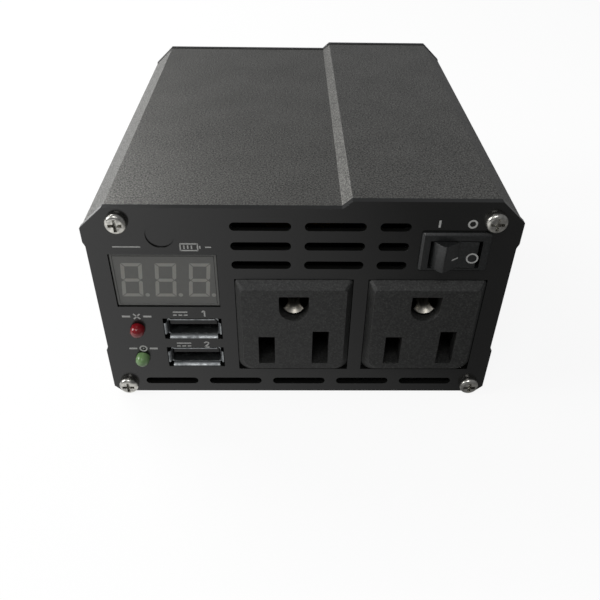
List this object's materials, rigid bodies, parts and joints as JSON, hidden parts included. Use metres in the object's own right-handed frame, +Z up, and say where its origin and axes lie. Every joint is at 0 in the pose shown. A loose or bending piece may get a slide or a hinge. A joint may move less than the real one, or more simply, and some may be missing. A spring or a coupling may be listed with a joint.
{
  "type": "power inverter",
  "caption": "Small mains power inverter in a stepped aluminium case, with mains outlets, USB sockets, a voltage display, a rocker switch, a fan and battery posts.",
  "frame": {"origin": "centre of the flat underside, midway between the front and rear panels' outer faces", "axes": "+Z up, +Y from the front panel to the rear panel, +X to the right when facing the front"},
  "size_m": [0.0936, 0.126, 0.0551],
  "materials": {
    "anodised_case": "bead-blasted dark grey anodised extrusion",
    "black_panel": "semi-matte black powder coat on sheet aluminium",
    "nickel_screw": "bright nickel plate",
    "outlet_nylon": "textured black moulding",
    "outlet_cap": "plain black moulding",
    "spring_brass": "nickel-washed spring brass",
    "display_case": "matte moulding",
    "display_face": "satin grey face",
    "display_segment": "unlit diffuser",
    "tinned_pin": "tinned",
    "red_lens": "tinted epoxy dome",
    "green_lens": "tinted epoxy dome",
    "usb_shell": "bright nickel-plated steel",
    "usb_insulator": "black moulding",
    "circuit_board": "green solder mask",
    "switch_plastic": "satin black moulding",
    "copper_alloy": "bare copper",
    "heat_sink": "mill-finish extrusion",
    "transistor_case": "epoxy moulding with a tinned tab",
    "silicone_pad": "grey silicone sheet",
    "ferrite": "sintered ferrite",
    "bobbin_resin": "black phenolic",
    "winding_tape": "yellow polyester tape",
    "capacitor_sleeve": "shrunk sleeve",
    "enamelled_wire": "enamelled copper winding",
    "fuse_body": "clear amber moulding",
    "fan_plastic": "black moulding",
    "guard_wire": "bright plated steel wire",
    "post_red": "red moulding",
    "post_black": "black moulding",
    "post_brass": "nickel-plated brass",
    "lead_sleeve": "soft insulation"
  },
  "bodies": {
    "case": {"top_cover": "anodised_case", "bottom_tray": "anodised_case", "front_panel": "black_panel", "rear_panel": "black_panel", "front_screws": "nickel_screw", "rear_screws": "nickel_screw", "left_outlet_body": "outlet_nylon", "right_outlet_body": "outlet_nylon", "outlet_caps": "outlet_cap", "left_outlet_contacts": "spring_brass", "right_outlet_contacts": "spring_brass", "display_case": "display_case", "display_face": "display_face", "display_segments": "display_segment", "display_pins": "tinned_pin", "fault_lamp": "red_lens", "power_lamp": "green_lens", "lamp_leads": "tinned_pin", "upper_usb_shell": "usb_shell", "lower_usb_shell": "usb_shell", "upper_usb_tongue": "usb_insulator", "lower_usb_tongue": "usb_insulator", "usb_pins": "spring_brass", "front_board": "circuit_board", "switch_housing": "switch_plastic", "switch_terminals": "spring_brass", "main_board": "circuit_board", "left_heat_sink": "heat_sink", "right_heat_sink": "heat_sink", "left_transistors": "transistor_case", "right_transistors": "transistor_case", "insulating_pads": "silicone_pad", "sink_screws": "nickel_screw", "transformer_core": "ferrite", "transformer_bobbin": "bobbin_resin", "transformer_winding": "winding_tape", "input_capacitors": "capacitor_sleeve", "bulk_capacitor": "capacitor_sleeve", "output_choke": "enamelled_wire", "fuses": "fuse_body", "control_board": "circuit_board", "fan_frame": "fan_plastic", "fan_guard": "guard_wire", "fan_screws": "nickel_screw", "fan_nuts": "nickel_screw", "positive_bushing": "post_red", "negative_bushing": "post_black", "post_studs": "post_brass", "post_nuts": "nickel_screw", "bus_straps": "copper_alloy", "earth_screw": "nickel_screw", "switch_leads": "lead_sleeve", "fan_leads": "lead_sleeve"},
    "rocker": {"switch_rocker": "switch_plastic"},
    "contact_lever": {"switch_lever": "copper_alloy"},
    "fan_rotor": {"fan_impeller": "fan_plastic"},
    "positive_washer_body": {"positive_washer": "nickel_screw"},
    "positive_knob_body": {"positive_knob": "post_red"},
    "negative_washer_body": {"negative_washer": "nickel_screw"},
    "negative_knob_body": {"negative_knob": "post_black"}
  },
  "joints": [
    {"name": "rocker_tilt", "type": "hinge", "parent": "case", "child": "rocker", "pos_m": [0.03295, -0.0509, 0.0427], "axis": [0, 0, -1], "range_deg": [0, 30]},
    {"name": "lever_tilt", "type": "hinge", "parent": "case", "child": "contact_lever", "pos_m": [0.03295, -0.0453, 0.0427], "axis": [0, 0, -1], "range_deg": [-15, 0]},
    {"name": "fan_spin", "type": "hinge", "parent": "case", "child": "fan_rotor", "pos_m": [0.018, 0.046, 0.028], "axis": [0, 1, 0], "continuous": true},
    {"name": "positive_knob_slide", "type": "slide", "parent": "case", "child": "positive_washer_body", "axis": [0, 1, 0], "range_m": [0, 0.0048]},
    {"name": "positive_knob_turn", "type": "hinge", "parent": "positive_washer_body", "child": "positive_knob_body", "pos_m": [-0.016, 0.06, 0.028], "axis": [0, -1, 0], "range_deg": [0, 2160]},
    {"name": "negative_knob_slide", "type": "slide", "parent": "case", "child": "negative_washer_body", "axis": [0, 1, 0], "range_m": [0, 0.0048]},
    {"name": "negative_knob_turn", "type": "hinge", "parent": "negative_washer_body", "child": "negative_knob_body", "pos_m": [-0.033, 0.06, 0.028], "axis": [0, -1, 0], "range_deg": [0, 2160]}
  ],
  "couplings": [
    {"joint": "lever_tilt", "follows": "rocker_tilt", "ratio": -0.5},
    {"joint": "positive_knob_slide", "follows": "positive_knob_turn", "m_per_rad": 0.00012732},
    {"joint": "negative_knob_slide", "follows": "negative_knob_turn", "m_per_rad": 0.00012732}
  ]
}
